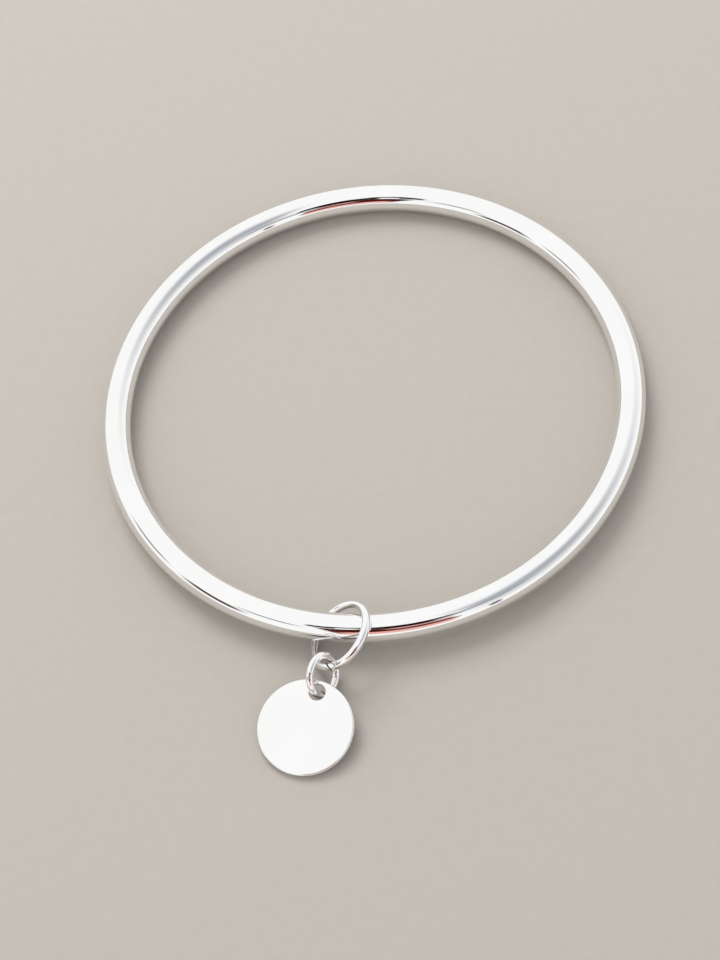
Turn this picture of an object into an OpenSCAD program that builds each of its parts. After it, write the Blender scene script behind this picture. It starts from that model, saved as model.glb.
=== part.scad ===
// Charm bangle: a closed round bangle with a blank disc hung on two wire jump rings.
// It lies as it would by itself on a flat surface. The bangle rests on its far side and on
// the wire of the large ring, which passes under it, and the charm lies in front, towards -Y.
// Lengths are in millimetres and angles in degrees. The flat surface is the plane Z = 0, and
// the origin is the middle of the wrist opening on that plane.

/* [Bangle] */
// Inner diameter of the bangle, across the wrist opening
bangle_bore = 65; // [55:0.5:75]
// Thickness of the bangle's round section
bangle_thick = 3.8; // [3:0.1:5]

/* [Large jump ring] */
// Wire thickness of the ring that goes round the bangle
large_wire = 1.1; // [0.8:0.05:1.3]
// Free width inside the large ring beside the bangle
large_ring_room = 4; // [3.6:0.1:6]
// How far the large ring's middle lies outside the bangle's centre line
large_ring_out = 0.88; // [0.5:0.02:1.2]
// Where the cut between the wire ends sits, round the large ring
large_cut_angle = 82; // [60:1:110]

/* [Small jump ring] */
// Wire thickness of the ring that carries the disc
small_wire = 1; // [0.8:0.05:1.1]
// Free width inside the small ring beside the large ring's wire and the disc's web
small_ring_room = 2.43; // [2.2:0.01:4]
// Where the small ring hangs, round the large ring
link_angle = 81; // [75:0.5:95]
// Where the large ring's wire sits, round the small ring
grip_angle = 82.5; // [66:0.5:90]
// Slope of the small ring where nothing lays it flatter
small_ring_slope = 63.5; // [50:0.5:70]
// Direction in which the small ring slopes down
small_ring_heading = -13; // [-20:0.5:0]
// Where the cut between the wire ends sits, round the small ring
small_cut_angle = 315; // [300:1:330]

/* [Disc charm] */
// Diameter of the disc
disc_d = 12.35; // [10:0.05:20]
// Thickness of the disc
disc_thick = 0.8; // [0.6:0.05:1.2]
// Room of the small ring's wire in the disc's hole
hole_room = 1.15; // [1:0.01:1.5]
// Width of the metal web between the hole and the disc's rim
hole_web = 0.46; // [0.4:0.01:1.2]
// Radius that polishing leaves on the disc's edges
edge_round = 0.2; // [0.05:0.01:0.25]
// Where the disc sits, round the small ring
seat_angle = 280; // [270:0.5:290]
// Share of the hole's free room by which the hole sits nearer the small ring's middle
hole_push = 0.22; // [0:0.01:0.6]
// Share of the hole's free room by which the hole sits aside of the small ring's plane
hole_aside = 0.36; // [0:0.01:0.5]
// Direction in which the disc slopes down
disc_heading = -101.5; // [-125:0.5:-95]
// Angle from the disc's slope to the line between its middle and its hole
disc_twist = 3; // [0:0.5:25]

/* [Fit] */
// Clearance between pieces that rest on one another
play = 0.06; // [0.03:0.01:0.1]
// Gap between the two ends of a jump ring's wire
cut_gap = 0.12; // [0.05:0.01:0.2]
// Slant of the cut across the wire, in the plane of the ring
cut_slant_angle = 45; // [0:1:50]

/* [Hidden] */
$fn = 96;
silver = [0.93, 0.93, 0.94];
over = 1;

// Radii of the bangle and the rings, to the middle of their wire
bangle_mid = (bangle_bore + bangle_thick) / 2;
large_mid = (bangle_thick + large_ring_room + large_wire) / 2;
small_bore = large_wire + hole_web + small_ring_room;
small_mid = (small_bore + small_wire) / 2;

// The large ring slopes just enough for its wire to pass under and over the bangle, with
// more play than elsewhere because the two cross at a slant
cross_play = 3 * play;
large_reach = sqrt(pow(large_mid, 2) - pow(large_ring_out, 2));
large_slope = asin(((bangle_thick + large_wire) / 2 + cross_play) / large_reach);
large_at = [
    large_mid * cos(large_slope),
    -bangle_mid - large_ring_out,
    large_wire / 2 + large_mid * sin(large_slope)
];

// The bangle's near side is lifted by the wire under it, so the whole ring slopes a little
wire_rise = (large_mid - large_reach) * sin(large_slope);
bangle_lift = large_wire + wire_rise + cross_play / 2;
bangle_slope = asin(bangle_lift / (2 * bangle_mid));

// The small ring hangs on the large ring's wire, and lies flatter where the surface stops it
link_point = large_at + turned(on_ring(large_mid, link_angle), large_slope, 180);
grip_radius = small_mid - (large_wire + small_wire) / 2 - play;
small_drop = small_mid - grip_radius * cos(grip_angle);
small_stop = (link_point.z - small_wire / 2 - play) / small_drop;
small_slope = asin(min(sin(small_ring_slope), small_stop));
small_at = link_point - turned(on_ring(grip_radius, grip_angle), small_slope, small_ring_heading);

// The disc hangs by its hole on the small ring and rests on the surface with its far edge
disc_r = disc_d / 2;
hole_r = (small_wire + hole_room) / 2;
hole_out = disc_r - hole_web - hole_r;
hole_slack = hole_room / 2;
seat_point = on_ring(small_mid - hole_push * hole_slack, seat_angle) + [0, 0, hole_aside * hole_slack];
hole_at = small_at + turned(seat_point, small_slope, small_ring_heading);
disc_arm = disc_r - edge_round + hole_out * cos(disc_twist);
disc_half = disc_thick / 2 - edge_round;
disc_tip = norm([disc_arm, disc_half]);
disc_slope = asin((hole_at.z - edge_round) / disc_tip) - atan2(disc_half, disc_arm);
hole_in_disc = -on_ring(hole_out, disc_twist);

// A point at the angle a round a flat ring of radius r
function on_ring(r, a) = [r * cos(a), r * sin(a), 0];

// The point v sloped down towards +X and then turned to the heading
function turned(v, slope, heading) =
    let (x = v.x * cos(slope) + v.z * sin(slope), z = v.z * cos(slope) - v.x * sin(slope))
    [x * cos(heading) - v.y * sin(heading), x * sin(heading) + v.y * cos(heading), z];

// Places a flat piece so that it slopes down towards the heading
module laid(place, slope, heading) {
    translate(place) rotate([0, slope, heading]) children();
}

// A ring of round wire, cut through once at a slant, with a hairline gap between its two ends
module jump_ring(mid_r, wire_d, cut_angle) {
    rotate([0, 0, cut_angle])
        difference() {
            rotate([0, 0, 180]) rotate_extrude() translate([mid_r, 0]) circle(d = wire_d);
            translate([mid_r, 0])
                rotate([0, 0, cut_slant_angle])
                    cube([3 * wire_d, cut_gap, 2 * wire_d], center = true);
        }
}

// The round of metal before it is drilled, with its edges softened by polishing
module disc_blank() {
    rotate_extrude() {
        translate([0, -disc_thick / 2]) square([disc_r - edge_round, disc_thick]);
        translate([0, -disc_half]) square([disc_r, 2 * disc_half]);
        for (side = [-1, 1])
            translate([disc_r - edge_round, side * disc_half]) circle(r = edge_round);
    }
}

// The closed bangle
module bangle() {
    color(silver)
        translate([0, 0, bangle_thick / 2 + bangle_lift / 2])
            rotate([-bangle_slope, 0, 0])
                rotate_extrude() translate([bangle_mid, 0]) circle(d = bangle_thick);
}

// The ring that hangs the charm on the bangle
module large_jump_ring() {
    color(silver)
        laid(large_at, large_slope, 180) jump_ring(large_mid, large_wire, large_cut_angle);
}

// The ring that hangs the disc on the large ring
module small_jump_ring() {
    color(silver)
        laid(small_at, small_slope, small_ring_heading)
            jump_ring(small_mid, small_wire, small_cut_angle);
}

// The blank disc with its hole
module disc_charm() {
    color(silver)
        laid(hole_at, disc_slope, disc_heading)
            difference() {
                translate(-hole_in_disc) disc_blank();
                translate([0, 0, -disc_thick / 2 - over])
                    cylinder(r = hole_r, h = disc_thick + 2 * over);
            }
}

bangle();
large_jump_ring();
small_jump_ring();
disc_charm();
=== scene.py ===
"""Dresses the charm bangle and sets a soft studio round it.

The closed bangle, its two jump rings and the blank disc are all polished sterling silver.
Each is modelled from its own sizes and laid exactly where its node lies in the frame.
"""

import logging
import math
from dataclasses import dataclass, field
from enum import Enum

import bmesh
import bpy
import numpy as np
from mathutils import Matrix, Quaternion, Vector


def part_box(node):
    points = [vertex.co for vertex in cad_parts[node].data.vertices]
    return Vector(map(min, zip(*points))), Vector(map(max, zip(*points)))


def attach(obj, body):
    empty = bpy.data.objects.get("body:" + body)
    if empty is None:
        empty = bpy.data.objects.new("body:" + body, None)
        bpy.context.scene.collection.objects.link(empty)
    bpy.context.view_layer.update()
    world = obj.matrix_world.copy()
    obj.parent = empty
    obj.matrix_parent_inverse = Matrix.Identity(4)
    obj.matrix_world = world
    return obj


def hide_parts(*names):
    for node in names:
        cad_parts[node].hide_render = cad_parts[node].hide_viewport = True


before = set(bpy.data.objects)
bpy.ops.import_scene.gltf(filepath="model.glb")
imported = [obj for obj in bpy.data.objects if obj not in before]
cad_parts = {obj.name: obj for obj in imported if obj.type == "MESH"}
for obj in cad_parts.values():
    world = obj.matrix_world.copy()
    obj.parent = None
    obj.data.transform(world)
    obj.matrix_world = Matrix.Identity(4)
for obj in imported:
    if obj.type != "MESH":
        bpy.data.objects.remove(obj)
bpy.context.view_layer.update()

MM = 0.001
BODY = "root"
UP = Vector((0, 0, 1))
SURFACE_MAP = "surface"
# A face whose normal leans to Z by more than this share is on a flat side
FLAT_SIDE = 0.5
# Spun wire has faces of four corners, and its two ends have more
SPUN_CORNERS = 4
# Slots of a piece's main material and of the one on its ends or edge
MAIN_SLOT, EDGE_SLOT = 0, 1
# Half the side of a card before it gets its size
CARD_HALF = 0.5

log = logging.getLogger("charm_bangle")


class Part(Enum):
    """The frame's nodes, which are also the record's material slots."""

    BANGLE = "bangle"
    LARGE_RING = "large_jump_ring"
    SMALL_RING = "small_jump_ring"
    DISC = "disc_charm"


class Lay(Enum):
    """Ways in which polishing hairlines run, as angles in degrees from the surface map's U."""

    ALONG = (0,)
    CROSSED = (24, -41, 78)


def linear(colour: str) -> tuple[float, float, float, float]:
    """Turns an sRGB hex colour to linear.

    Args:
        colour: The colour, such as "#F6F5F2".

    Returns:
        Linear red, green and blue, and an alpha of 1.
    """
    shares = [int(colour[i:i + 2], 16) / 255 for i in (1, 3, 5)]
    curve = [s / 12.92 if s <= 0.04045 else ((s + 0.055) / 1.055) ** 2.4 for s in shares]
    return (*curve, 1.0)


def add_node(
    tree: bpy.types.NodeTree, kind: str, inputs: dict | None = None, **settings: object
) -> bpy.types.Node:
    """Adds a node with its settings and links.

    Args:
        tree: The node tree that it goes into.
        kind: Blender's name for the kind of node.
        inputs: For each input's name or place, a value, or the socket that it is linked to.
        settings: The node's own properties.

    Returns:
        The new node.
    """
    made = tree.nodes.new(kind)
    for name, value in settings.items():
        setattr(made, name, value)
    for name, value in (inputs or {}).items():
        if isinstance(value, bpy.types.NodeSocket):
            tree.links.new(value, made.inputs[name])
        else:
            made.inputs[name].default_value = value
    return made


def blank_material(name: str) -> tuple[bpy.types.Material, bpy.types.NodeTree]:
    """Makes a material that has no nodes yet.

    Args:
        name: The material's name.

    Returns:
        The material and its empty node tree.
    """
    material = bpy.data.materials.new(name)
    material.use_nodes = True
    material.node_tree.nodes.clear()
    return material, material.node_tree


def stand(shape: bmesh.types.BMesh, name: str, material: bpy.types.Material) -> bpy.types.Object:
    """Turns a shape into an object in the scene.

    Args:
        shape: The shape. It is used up.
        name: The name of the object and of its mesh.
        material: What it is made of.

    Returns:
        The object, unturned and at the origin.
    """
    mesh = bpy.data.meshes.new(name)
    shape.to_mesh(mesh)
    shape.free()
    mesh.materials.append(material)
    made = bpy.data.objects.new(name, mesh)
    bpy.context.scene.collection.objects.link(made)
    return made


@dataclass(frozen=True)
class PolishedSilver:
    """Sterling silver, buffed and tumbled to a mirror.

    It mirrors the room almost whole, with hardly a tint. The buffing wheel leaves slow waves
    that bend the mirrored lines, and wear leaves hairlines and a faint film.
    """

    name: str
    lay: Lay
    clean: str = "#FAFAFA"
    filmed: str = "#F4F4F3"
    film_mm: float = 7.0
    film_detail: float = 3.0
    film_span: tuple[float, float] = (0.3, 0.7)
    sharpest: float = 0.03
    dullest: float = 0.08
    wave_mm: float = 9.0
    wave_height_mm: float = 0.012
    wave_detail: float = 1.0
    # Real hairlines are about 0.01 mm wide. They are drawn wider here, so that they show.
    hairline_mm: float = 0.09
    hairline_length_mm: float = 5.0
    hairline_depth_mm: float = 0.0006
    hairline_span: tuple[float, float] = (0.6, 0.8)

    def made(self) -> bpy.types.Material:
        """Builds the material.

        Returns:
            The material, with its colour, roughness and relief in nodes.
        """
        material, tree = blank_material(self.name)
        place = add_node(tree, "ShaderNodeTexCoord")
        film = add_node(
            tree,
            "ShaderNodeTexNoise",
            {
                "Vector": place.outputs["Object"],
                "Scale": 1 / (self.film_mm * MM),
                "Detail": self.film_detail,
            },
        )
        colour = add_node(
            tree,
            "ShaderNodeMix",
            {"Factor": film.outputs["Fac"], 6: linear(self.clean), 7: linear(self.filmed)},
            data_type="RGBA",
        )
        roughness = add_node(
            tree,
            "ShaderNodeMapRange",
            {
                "Value": film.outputs["Fac"],
                "From Min": self.film_span[0],
                "From Max": self.film_span[1],
                "To Min": self.sharpest,
                "To Max": self.dullest,
            },
        )
        relief = self.hairlines(tree, place, self.waves(tree, place))
        shader = add_node(
            tree,
            "ShaderNodeBsdfPrincipled",
            {
                "Base Color": colour.outputs[2],
                "Metallic": 1.0,
                "Roughness": roughness.outputs["Result"],
                "Normal": relief,
            },
        )
        add_node(tree, "ShaderNodeOutputMaterial", {"Surface": shader.outputs["BSDF"]})
        return material

    def waves(self, tree: bpy.types.NodeTree, place: bpy.types.Node) -> bpy.types.NodeSocket:
        """Adds the slow waves that the buffing wheel leaves.

        Args:
            tree: The material's nodes.
            place: The node that gives coordinates.

        Returns:
            The socket that holds the bent normal.
        """
        wave = add_node(
            tree,
            "ShaderNodeTexNoise",
            {
                "Vector": place.outputs["Object"],
                "Scale": 1 / (self.wave_mm * MM),
                "Detail": self.wave_detail,
            },
        )
        bump = add_node(
            tree,
            "ShaderNodeBump",
            {"Height": wave.outputs["Fac"], "Distance": self.wave_height_mm * MM},
        )
        return bump.outputs["Normal"]

    def hairlines(
        self, tree: bpy.types.NodeTree, place: bpy.types.Node, normal: bpy.types.NodeSocket
    ) -> bpy.types.NodeSocket:
        """Adds the fine hairlines that polishing and wear leave.

        Args:
            tree: The material's nodes.
            place: The node that gives coordinates.
            normal: The socket with the normal so far.

        Returns:
            The socket that holds the normal with the hairlines in it.
        """
        for angle in self.lay.value:
            turned = add_node(
                tree,
                "ShaderNodeMapping",
                {"Vector": place.outputs["UV"], "Rotation": (0, 0, math.radians(angle))},
            )
            stretched = add_node(
                tree,
                "ShaderNodeMapping",
                {
                    "Vector": turned.outputs["Vector"],
                    "Scale": (1 / (self.hairline_length_mm * MM), 1 / (self.hairline_mm * MM), 1),
                },
            )
            grain = add_node(
                tree,
                "ShaderNodeTexNoise",
                {"Vector": stretched.outputs["Vector"], "Scale": 1.0, "Detail": 0.0},
            )
            line = add_node(
                tree,
                "ShaderNodeMapRange",
                {
                    "Value": grain.outputs["Fac"],
                    "From Min": self.hairline_span[0],
                    "From Max": self.hairline_span[1],
                },
            )
            bump = add_node(
                tree,
                "ShaderNodeBump",
                {
                    "Height": line.outputs["Result"],
                    "Distance": self.hairline_depth_mm * MM,
                    "Normal": normal,
                },
                invert=True,
            )
            normal = bump.outputs["Normal"]
        return normal


@dataclass(frozen=True)
class CutSilverWithPaintedShade:
    """Sterling silver at a cut: matt as the cutters leave it, where no buffing wheel reaches, and
    painted a dark grey that is painted shade for the cut's narrow slit.
    """

    name: str
    # The dark grey tone is painted shade for the slit of the cut; the matt roughness is real
    tone: str = "#7E7A78"
    roughness: float = 0.5

    def made(self) -> bpy.types.Material:
        """Builds the material, of one tone and one roughness.

        Returns:
            The material.
        """
        material, tree = blank_material(self.name)
        shader = add_node(
            tree,
            "ShaderNodeBsdfPrincipled",
            {"Base Color": linear(self.tone), "Metallic": 1.0, "Roughness": self.roughness},
        )
        add_node(tree, "ShaderNodeOutputMaterial", {"Surface": shader.outputs["BSDF"]})
        return material


@dataclass(frozen=True)
class Place:
    """How a flat, round piece lies in the frame.

    Its own Z axis stands on its flat side, and its own X axis points to its cut or hole.
    """

    middle: Vector
    axes: Matrix

    @classmethod
    def measured(cls, part: Part, towards: Vector | None = None) -> "Place":
        """Measures how a node lies, from the solid that its mesh encloses.

        Args:
            part: The node.
            towards: The direction of the X axis, for a piece with no cut or hole.

        Returns:
            The place. The side with a cut or a hole is the light one, so it lies opposite to
            the centre of mass.
        """
        low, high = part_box(part.value)
        middle = (low + high) / 2
        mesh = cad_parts[part.value].data
        mesh.calc_loop_triangles()
        points = np.array([v.co for v in mesh.vertices], float) - np.array(middle)
        corners = points[np.array([t.vertices for t in mesh.loop_triangles])]
        a, b, c = corners[:, 0], corners[:, 1], corners[:, 2]
        wedge = np.einsum("ij,ij->i", a, np.cross(b, c))
        total = a + b + c
        heavy = (wedge[:, None] * total).sum(0)
        spread = sum(np.einsum("i,ij,ik->jk", wedge, p, p) for p in (a, b, c, total))
        flat = Vector(np.linalg.eigh(spread * np.sign(wedge.sum()))[1][:, 0])
        if flat.dot(UP) < 0:
            flat.negate()
        aim = Vector(-heavy * np.sign(wedge.sum())) if towards is None else towards
        along = (aim - aim.dot(flat) * flat).normalized()
        axes = Matrix((along, flat.cross(along), flat)).transposed()
        return cls(middle, axes)

    @property
    def matrix(self) -> Matrix:
        """The turn and the move from the piece's own axes to the frame."""
        return Matrix.Translation(self.middle) @ self.axes.to_4x4()


def surface_map(shape: bmesh.types.BMesh, mid_radius: float) -> None:
    """Gives a round piece a map in metres: along the ring, and round its section.

    Args:
        shape: The piece, flat round the Z axis.
        mid_radius: Radius of the ring to the middle of its section, or 0 for a disc, whose
            flat sides are mapped as they lie.
    """
    layer = shape.loops.layers.uv.new(SURFACE_MAP)
    for face in shape.faces:
        flat_side = not mid_radius and abs(face.normal.z) > FLAT_SIDE
        turn, roll = None, None
        for loop in face.loops:
            point = loop.vert.co
            if flat_side:
                loop[layer].uv = point.xy
                continue
            out = point.xy.length
            angle = unwrapped(math.atan2(point.y, point.x), turn)
            turn = angle
            if not mid_radius:
                loop[layer].uv = (angle * out, point.z)
                continue
            lean = unwrapped(math.atan2(out - mid_radius, point.z), roll)
            roll = lean
            section = math.hypot(out - mid_radius, point.z)
            loop[layer].uv = (angle * mid_radius, lean * section)


def unwrapped(angle: float, last: float | None) -> float:
    """Brings an angle within half a turn of the last one.

    Args:
        angle: The angle in radians.
        last: The angle before it, or None for the first.

    Returns:
        The angle, with whole turns added.
    """
    if last is None:
        return angle
    return angle + math.tau * round((last - angle) / math.tau)


def laid_piece(
    shape: bmesh.types.BMesh, part: Part, place: Place, finish: PolishedSilver
) -> bpy.types.Object:
    """Turns a modelled shape into a piece that stands for its node.

    Args:
        shape: The shape, flat round the Z axis. It is used up.
        part: The node that the piece stands for.
        place: Where the node lies.
        finish: What the piece is made of.

    Returns:
        The piece, which moves with the frame.
    """
    bmesh.ops.transform(shape, matrix=place.matrix, verts=shape.verts)
    name = "silver_" + part.value
    piece = stand(shape, name, finish.made())
    mesh = piece.data
    mesh.shade_smooth()
    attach(piece, BODY)
    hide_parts(part.value)
    low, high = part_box(part.value)
    points = np.array([v.co for v in mesh.vertices], float)
    off = max(np.abs(points.min(0) - low).max(), np.abs(points.max(0) - high).max())
    log.info("%s: %d faces, box within %.3f mm of its node", name, len(mesh.polygons), off / MM)
    return piece


@dataclass
class Bangle:
    """The closed bangle, one round tube of silver with no clasp."""

    bore_mm: float = 65.0
    thick_mm: float = 3.8
    steps: int = 384
    sides: int = 96
    finish: PolishedSilver = field(
        default_factory=lambda: PolishedSilver("polished_sterling_silver_bangle", Lay.ALONG)
    )

    def shape(self) -> bmesh.types.BMesh:
        """Spins the round section into a ring.

        Returns:
            The ring, flat round the Z axis.
        """
        mid = (self.bore_mm + self.thick_mm) / 2 * MM
        shape = wire_section(mid, self.thick_mm / 2 * MM, self.sides)
        bmesh.ops.spin(
            shape,
            geom=shape.verts[:] + shape.edges[:],
            axis=UP,
            angle=math.tau,
            steps=self.steps,
            use_merge=True,
        )
        bmesh.ops.recalc_face_normals(shape, faces=shape.faces)
        surface_map(shape, mid)
        return shape

    def build(self) -> bpy.types.Object:
        """Builds the bangle and lays it in the frame."""
        place = Place.measured(Part.BANGLE, towards=Vector((0, -1, 0)))
        return laid_piece(self.shape(), Part.BANGLE, place, self.finish)


def wire_section(mid_radius: float, radius: float, sides: int) -> bmesh.types.BMesh:
    """Makes the round section of a ring.

    Args:
        mid_radius: Distance from the Z axis to the section's middle, along +X.
        radius: The section's radius.
        sides: How many sides the section has.

    Returns:
        The section, upright in the XZ plane.
    """
    shape = bmesh.new()
    bmesh.ops.create_circle(shape, segments=sides, radius=radius)
    upright = Matrix.Translation((mid_radius, 0, 0)) @ Matrix.Rotation(math.pi / 2, 4, "X")
    bmesh.ops.transform(shape, matrix=upright, verts=shape.verts)
    return shape


@dataclass
class JumpRing:
    """A ring of round wire, cut through once at a slant and closed again by hand."""

    part: Part
    bore_mm: float
    wire_mm: float
    finish: PolishedSilver
    ends: CutSilverWithPaintedShade
    cut_gap_mm: float = 0.12
    cut_slant: float = 45.0
    # How far from the cut its slant dies out in the wire's points, in wire thicknesses
    slide_reach: float = 4.0
    cut_edge_mm: float = 0.04
    edge_segments: int = 3
    steps: int = 224
    sides: int = 56

    def shape(self) -> bmesh.types.BMesh:
        """Spins the wire into an open ring, closes and slants its ends and softens their edges.

        Returns:
            The ring, flat round the Z axis, with its cut at +X. Its ends have the second
            material.
        """
        mid = (self.bore_mm + self.wire_mm) / 2 * MM
        shape = wire_section(mid, self.wire_mm / 2 * MM, self.sides)
        gap = 2 * math.asin(self.cut_gap_mm * MM / (2 * mid))
        bmesh.ops.rotate(
            shape, cent=(0, 0, 0), matrix=Matrix.Rotation(gap / 2, 3, "Z"), verts=shape.verts
        )
        bmesh.ops.spin(
            shape,
            geom=shape.verts[:] + shape.edges[:],
            axis=UP,
            angle=math.tau - gap,
            steps=self.steps,
        )
        bmesh.ops.holes_fill(shape, edges=[e for e in shape.edges if e.is_boundary])
        self.slant_ends(shape, mid)
        rims = [e for f in shape.faces if len(f.verts) > SPUN_CORNERS for e in f.edges]
        softened = bmesh.ops.bevel(
            shape,
            geom=rims,
            offset=self.cut_edge_mm * MM,
            segments=self.edge_segments,
            profile=0.5,
            affect="EDGES",
            material=-1,
        )
        bmesh.ops.recalc_face_normals(shape, faces=shape.faces)
        surface_map(shape, mid)
        ends = [f for f in shape.faces if len(f.verts) > SPUN_CORNERS]
        # The ends and their softened rims take the cut material, with its painted shade
        for face in [*softened["faces"], *ends]:
            face.material_index = EDGE_SLOT
        return shape

    def slant_ends(self, shape: bmesh.types.BMesh, mid: float) -> None:
        """Slides the wire's ends along the ring until both lie at the cut's slant.

        Args:
            shape: The ring with ends square to the wire. Its skin keeps its form, because every
                point only moves round the ring.
            mid: Radius of the ring to the middle of its wire.
        """
        slant, half_gap = math.radians(self.cut_slant), self.cut_gap_mm / 2 * MM
        reach = self.slide_reach * self.wire_mm * MM / mid
        for vert in shape.verts:
            out = vert.co.xy.length
            angle = math.atan2(vert.co.y, vert.co.x)
            side = math.copysign(1.0, angle)
            end = slant + math.asin((side * half_gap - mid * math.sin(slant)) / out)
            square = side * math.asin(half_gap / mid)
            share = max(0.0, 1.0 - (abs(angle) - abs(square)) / reach)
            slide = Matrix.Rotation((end - square) * share, 3, "Z")
            vert.co = slide @ vert.co

    def build(self) -> bpy.types.Object:
        """Builds the ring and lays it in the frame.

        Returns:
            The piece.
        """
        piece = laid_piece(self.shape(), self.part, Place.measured(self.part), self.finish)
        piece.data.materials.append(self.ends.made())
        return piece


@dataclass
class DiscCharm:
    """The blank disc, stamped from sheet, drilled near its edge and polished on both sides.

    Its edge and the wall of its hole are only tumbled, so they are a little softer to look at.
    """

    across_mm: float = 12.35
    thick_mm: float = 0.8
    hole_mm: float = 2.15
    web_mm: float = 0.46
    rim_edge_mm: float = 0.2
    hole_edge_mm: float = 0.05
    edge_segments: int = 6
    sharp_angle: float = 60.0
    flat_weight: int = 100
    sides: int = 256
    finish: PolishedSilver = field(
        default_factory=lambda: PolishedSilver(
            "polished_sterling_silver_disc", Lay.CROSSED, hairline_length_mm=6.0
        )
    )
    edge: PolishedSilver = field(
        default_factory=lambda: PolishedSilver(
            "tumbled_sterling_silver_disc_edge", Lay.ALONG, sharpest=0.22, dullest=0.3
        )
    )

    def shape(self) -> bmesh.types.BMesh:
        """Joins the rim and the hole into a flat side, gives it its thickness and rounds it.

        Returns:
            The disc, flat round the Z axis, with its hole at +X. Its edge and the hole's wall
            have the second material.
        """
        shape = bmesh.new()
        rim, hole = self.across_mm / 2 * MM, self.hole_mm / 2 * MM
        out = rim - self.web_mm * MM - hole
        bmesh.ops.create_circle(shape, segments=self.sides, radius=rim)
        bmesh.ops.create_circle(
            shape, segments=self.sides, radius=hole, matrix=Matrix.Translation((out, 0, 0))
        )
        bmesh.ops.translate(shape, vec=(0, 0, -self.thick_mm / 2 * MM), verts=shape.verts)
        bmesh.ops.bridge_loops(shape, edges=shape.edges)
        grown = bmesh.ops.extrude_face_region(shape, geom=shape.faces[:])["geom"]
        raised = [v for v in grown if isinstance(v, bmesh.types.BMVert)]
        bmesh.ops.translate(shape, vec=(0, 0, self.thick_mm * MM), verts=raised)
        bmesh.ops.recalc_face_normals(shape, faces=shape.faces)
        sharp = [e for e in shape.edges if e.calc_face_angle(0) > math.radians(self.sharp_angle)]
        outer = {e for e in sharp if e.verts[0].co.xy.length > rim - self.web_mm / 2 * MM}
        for edges, width in ((outer, self.rim_edge_mm), (set(sharp) - outer, self.hole_edge_mm)):
            bmesh.ops.bevel(
                shape,
                geom=list(edges),
                offset=width * MM,
                segments=self.edge_segments,
                profile=0.5,
                affect="EDGES",
                material=-1,
            )
        bmesh.ops.recalc_face_normals(shape, faces=shape.faces)
        surface_map(shape, 0)
        for face in shape.faces:
            face.material_index = EDGE_SLOT if abs(face.normal.z) < FLAT_SIDE else MAIN_SLOT
        return shape

    def build(self) -> bpy.types.Object:
        """Builds the disc, lays it in the frame and keeps its flat sides truly flat.

        Returns:
            The piece.
        """
        piece = laid_piece(self.shape(), Part.DISC, Place.measured(Part.DISC), self.finish)
        piece.data.materials.append(self.edge.made())
        flatter = piece.modifiers.new("flat sides", "WEIGHTED_NORMAL")
        flatter.weight = self.flat_weight
        return piece


@dataclass(frozen=True)
class Flag:
    """A card hung in the light tent that only the mirror-bright metal sees.

    It stands `away_mm` from the origin at its azimuth, moved aside and raised, and is rolled
    in its own plane. Azimuth 0 lies towards -Y, and 90 towards +X. `soft` is the share of its
    width and height over which each side fades out.
    """

    name: str
    azimuth: float
    away_mm: float
    aside_mm: float
    raised_mm: float
    width_mm: float
    height_mm: float
    tone: str
    soft: float
    roll: float = 0.0

    def hang(self) -> None:
        """Makes the card and hangs it in its place."""
        sheet = bmesh.new()
        bmesh.ops.create_grid(sheet, x_segments=1, y_segments=1, size=CARD_HALF, calc_uvs=False)
        layer = sheet.loops.layers.uv.new(SURFACE_MAP)
        for face in sheet.faces:
            for loop in face.loops:
                loop[layer].uv = loop.vert.co.xy
        size = Matrix.Diagonal((self.width_mm * MM, self.height_mm * MM, 1, 1))
        towards = direction(self.azimuth, 0)
        turn = towards.to_track_quat("Z", "Y").to_matrix().to_4x4()
        roll = Matrix.Rotation(math.radians(self.roll), 4, "Z")
        aside = direction(self.azimuth + 90, 0) * self.aside_mm
        middle = (towards * self.away_mm + aside + UP * self.raised_mm) * MM
        place = Matrix.Translation(middle) @ turn @ roll @ size
        bmesh.ops.transform(sheet, matrix=place, verts=sheet.verts)
        card = stand(sheet, self.name, self.dyed())
        card.visible_camera = False
        card.visible_diffuse = False
        card.visible_shadow = False

    def dyed(self) -> bpy.types.Material:
        """Makes the card's even tone, which fades out towards its edges.

        Returns:
            The material.
        """
        material, tree = blank_material(self.name)
        place = add_node(tree, "ShaderNodeTexCoord")
        sides = add_node(tree, "ShaderNodeSeparateXYZ", {"Vector": place.outputs["UV"]})
        fades = []
        for side in ("X", "Y"):
            away = add_node(tree, "ShaderNodeMath", {0: sides.outputs[side]}, operation="ABSOLUTE")
            fades.append(
                add_node(
                    tree,
                    "ShaderNodeMapRange",
                    {
                        "Value": away.outputs["Value"],
                        "From Min": CARD_HALF - self.soft,
                        "From Max": CARD_HALF,
                        "To Min": 1.0,
                        "To Max": 0.0,
                    },
                    interpolation_type="SMOOTHSTEP",
                )
            )
        both = add_node(
            tree,
            "ShaderNodeMath",
            {0: fades[0].outputs["Result"], 1: fades[1].outputs["Result"]},
            operation="MULTIPLY",
        )
        glow = add_node(tree, "ShaderNodeEmission", {"Color": linear(self.tone)})
        clear = add_node(tree, "ShaderNodeBsdfTransparent")
        card = add_node(
            tree,
            "ShaderNodeMixShader",
            {"Fac": both.outputs["Value"], 1: clear.outputs["BSDF"], 2: glow.outputs["Emission"]},
        )
        add_node(tree, "ShaderNodeOutputMaterial", {"Surface": card.outputs["Shader"]})
        return material


def direction(azimuth: float, elevation: float) -> Vector:
    """Gives the unit vector from the origin in a direction.

    Args:
        azimuth: Degrees from -Y towards +X.
        elevation: Degrees above the horizon.

    Returns:
        The unit vector.
    """
    a, e = math.radians(azimuth), math.radians(elevation)
    return Vector((math.sin(a) * math.cos(e), -math.cos(a) * math.cos(e), math.sin(e)))


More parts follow.
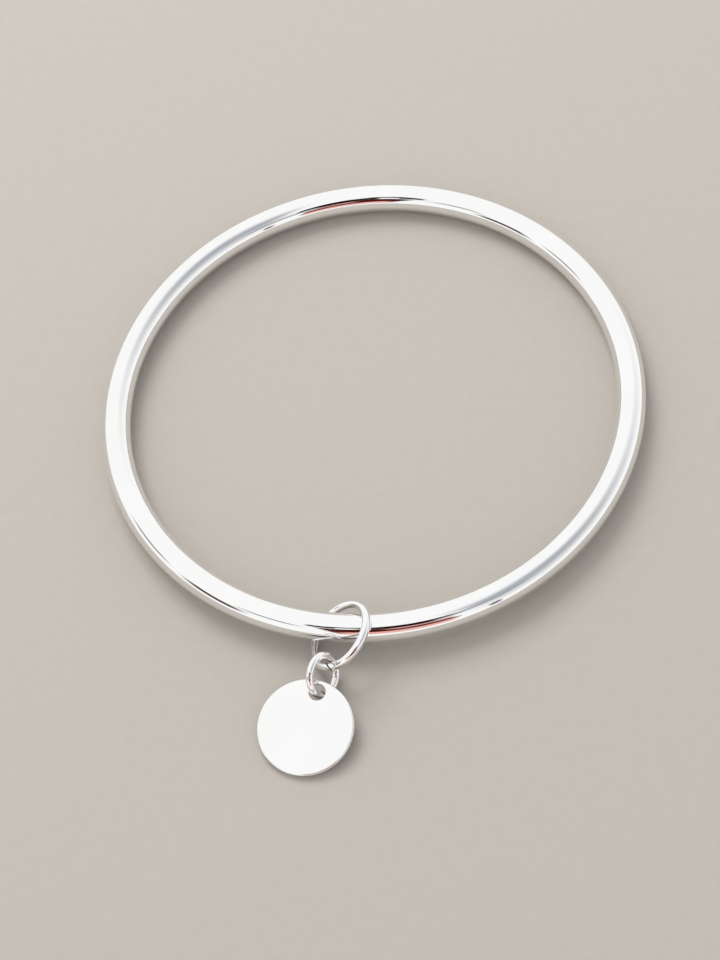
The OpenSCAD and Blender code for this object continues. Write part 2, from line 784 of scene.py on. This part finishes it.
# The first six make the dark streaks on the bangle's near and far side, and the others its
# softer brown and grey ones
FLAGS = (
    Flag("maroon_card", 0, 160.6, 39.7, 121, 136, 130, "#4A1512", soft=0.05, roll=18),
    Flag("black_bar", 0, 160, 65.5, 238, 139, 116, "#150709", soft=0.06, roll=2),
    Flag("black_tip", 0, 160.3, -46, 232, 36, 110, "#150709", soft=0.08, roll=10),
    Flag("black_link", 0, 160.1, -18, 266, 54, 80, "#150709", soft=0.06, roll=4),
    Flag("rose_line", 0, 159.4, 73, 137, 93, 40, "#D9A6A2", soft=0.2, roll=2),
    Flag("salmon_card", 0, 159, 53, 60, 133, 52, "#F0AFA4", soft=0.15, roll=1),
    Flag("brown_post", -46, 470, 0, 170, 240, 170, "#3C1E16", soft=0.3),
    Flag("grey_card", -74, 460, 0, 205, 200, 120, "#8E8C89", soft=0.35),
    Flag("pale_grey_card", -30, 400, 0, 315, 220, 110, "#8E8F92", soft=0.35),
    Flag("cool_card", 48, 131, 0, 135, 112, 69, "#A2A8AF", soft=0.35),
    Flag("blue_grey_post", 48.5, 500, 0, 140, 50, 170, "#5A616E", soft=0.3),
)


@dataclass
class Studio:
    """A white light tent over a plain pale floor, with one large soft light and a camera."""

    floor_mm: float = 3000.0
    floor_colour: str = "#B3ADA5"
    floor_shade: str = "#ADA79F"
    floor_roughness: float = 0.9
    floor_sheen: float = 0.15
    fibre_mm: float = 1.5
    fibre_detail: float = 4.0
    floor_sides: int = 64
    tent_colour: str = "#FFFFFF"
    tent_strength: float = 1.015
    wall_colour: str = "#B0B3B9"
    wall_foot: tuple[float, float] = (7.0, 60.0)
    wall_top: tuple[float, float] = (66.0, 87.0)
    wall_left: tuple[float, float] = (36.0, 58.0)
    wall_right: tuple[float, float] = (95.0, 180.0)
    key_azimuth: float = -140.0
    key_elevation: float = 52.0
    key_away_mm: float = 600.0
    key_across_mm: float = 350.0
    key_watts: float = 2.2
    aim_mm: tuple[float, float, float] = (0.44, -10.70, 0.0)
    view_azimuth: float = 22.52
    view_elevation: float = 58.18
    view_away_mm: float = 340.7
    view_roll: float = -11.98
    lens_mm: float = 96.9
    sensor_mm: float = 36.0
    clip_mm: tuple[float, float] = (10.0, 10000.0)

    def build(self) -> None:
        """Builds the floor, the tent, the light, the flags and the camera."""
        self.lay_floor()
        self.light_tent()
        self.hang_key()
        for flag in FLAGS:
            flag.hang()
        self.stand_camera()
        log.info("studio: floor, tent, key light, %d flags and camera", len(FLAGS))

    def lay_floor(self) -> None:
        """Lays the plain floor at Z = 0, in matt paper whose fibres barely show."""
        sheet = bmesh.new()
        bmesh.ops.create_circle(
            sheet, cap_ends=True, segments=self.floor_sides, radius=self.floor_mm / 2 * MM
        )
        material, tree = blank_material("matt_pale_paper")
        place = add_node(tree, "ShaderNodeTexCoord")
        fibre = add_node(
            tree,
            "ShaderNodeTexNoise",
            {
                "Vector": place.outputs["Object"],
                "Scale": 1 / (self.fibre_mm * MM),
                "Detail": self.fibre_detail,
            },
        )
        colour = add_node(
            tree,
            "ShaderNodeMix",
            {
                "Factor": fibre.outputs["Fac"],
                6: linear(self.floor_colour),
                7: linear(self.floor_shade),
            },
            data_type="RGBA",
        )
        shader = add_node(
            tree,
            "ShaderNodeBsdfPrincipled",
            {
                "Base Color": colour.outputs[2],
                "Roughness": self.floor_roughness,
                "Specular IOR Level": self.floor_sheen,
            },
        )
        add_node(tree, "ShaderNodeOutputMaterial", {"Surface": shader.outputs["BSDF"]})
        stand(sheet, "floor", material)

    def light_tent(self) -> None:
        """Fills the world with the tent's white, with a cool grey wall high on its right."""
        world = bpy.data.worlds.new("light_tent")
        world.use_nodes = True
        tree = world.node_tree
        tree.nodes.clear()
        place = add_node(tree, "ShaderNodeTexCoord")
        way = add_node(tree, "ShaderNodeSeparateXYZ", {"Vector": place.outputs["Generated"]})
        rise = add_node(tree, "ShaderNodeMath", {0: way.outputs["Z"]}, operation="ARCSINE")
        near = add_node(
            tree, "ShaderNodeMath", {0: way.outputs["Y"], 1: -1.0}, operation="MULTIPLY"
        )
        bearing = add_node(
            tree,
            "ShaderNodeMath",
            {0: way.outputs["X"], 1: near.outputs["Value"]},
            operation="ARCTAN2",
        )
        wall = None
        for angle, start, end in (
            (rise, self.wall_foot[0], self.wall_foot[1]),
            (rise, self.wall_top[1], self.wall_top[0]),
            (bearing, self.wall_left[0], self.wall_left[1]),
            (bearing, self.wall_right[1], self.wall_right[0]),
        ):
            side = add_node(
                tree,
                "ShaderNodeMapRange",
                {
                    "Value": angle.outputs["Value"],
                    "From Min": math.radians(start),
                    "From Max": math.radians(end),
                },
                interpolation_type="SMOOTHSTEP",
            )
            if wall is None:
                wall = side.outputs["Result"]
                continue
            both = add_node(
                tree,
                "ShaderNodeMath",
                {0: wall, 1: side.outputs["Result"]},
                operation="MULTIPLY",
            )
            wall = both.outputs["Value"]
        tone = add_node(
            tree,
            "ShaderNodeMix",
            {"Factor": wall, 6: linear(self.tent_colour), 7: linear(self.wall_colour)},
            data_type="RGBA",
        )
        glow = add_node(
            tree,
            "ShaderNodeBackground",
            {"Color": tone.outputs[2], "Strength": self.tent_strength},
        )
        add_node(tree, "ShaderNodeOutputWorld", {"Surface": glow.outputs["Background"]})
        bpy.context.scene.world = world
        bpy.context.scene.view_settings.view_transform = "Standard"

    def hang_key(self) -> None:
        """Hangs the large soft light behind the object, to its left."""
        lamp = bpy.data.lights.new("key_light", "AREA")
        lamp.shape = "SQUARE"
        lamp.size = self.key_across_mm * MM
        lamp.energy = self.key_watts
        key = bpy.data.objects.new("key_light", lamp)
        towards = direction(self.key_azimuth, self.key_elevation)
        key.location = towards * self.key_away_mm * MM
        key.rotation_euler = towards.to_track_quat("Z", "Y").to_euler()
        key.visible_camera = False
        key.visible_glossy = False
        bpy.context.scene.collection.objects.link(key)

    def stand_camera(self) -> None:
        """Stands the camera at the photograph's viewing angle."""
        data = bpy.data.cameras.new("camera")
        data.sensor_width = self.sensor_mm
        data.lens = self.lens_mm
        data.clip_start, data.clip_end = (reach * MM for reach in self.clip_mm)
        camera = bpy.data.objects.new("camera", data)
        back = direction(self.view_azimuth, self.view_elevation)
        camera.location = Vector(self.aim_mm) * MM + back * self.view_away_mm * MM
        roll = Quaternion((0, 0, 1), math.radians(self.view_roll))
        camera.rotation_mode = "QUATERNION"
        camera.rotation_quaternion = back.to_track_quat("Z", "Y") @ roll
        bpy.context.scene.collection.objects.link(camera)
        bpy.context.scene.camera = camera


def main() -> None:
    """Builds every piece in order, then the studio."""
    logging.basicConfig(level=logging.INFO, format="%(message)s")
    wire = PolishedSilver(
        "polished_sterling_silver_wire", Lay.ALONG, wave_mm=3.0, wave_height_mm=0.004, film_mm=3.0
    )
    # The cut ends' dark grey is painted shade for the cut's slit, on matt silver
    ends = CutSilverWithPaintedShade("cut_sterling_silver_wire_end_painted_shade")
    pieces = (
        Bangle(),
        JumpRing(Part.LARGE_RING, bore_mm=7.8, wire_mm=1.1, finish=wire, ends=ends),
        JumpRing(Part.SMALL_RING, bore_mm=3.99, wire_mm=1.0, finish=wire, ends=ends),
        DiscCharm(),
    )
    for piece in pieces:
        piece.build()
    Studio().build()


if __name__ == "__main__":
    main()
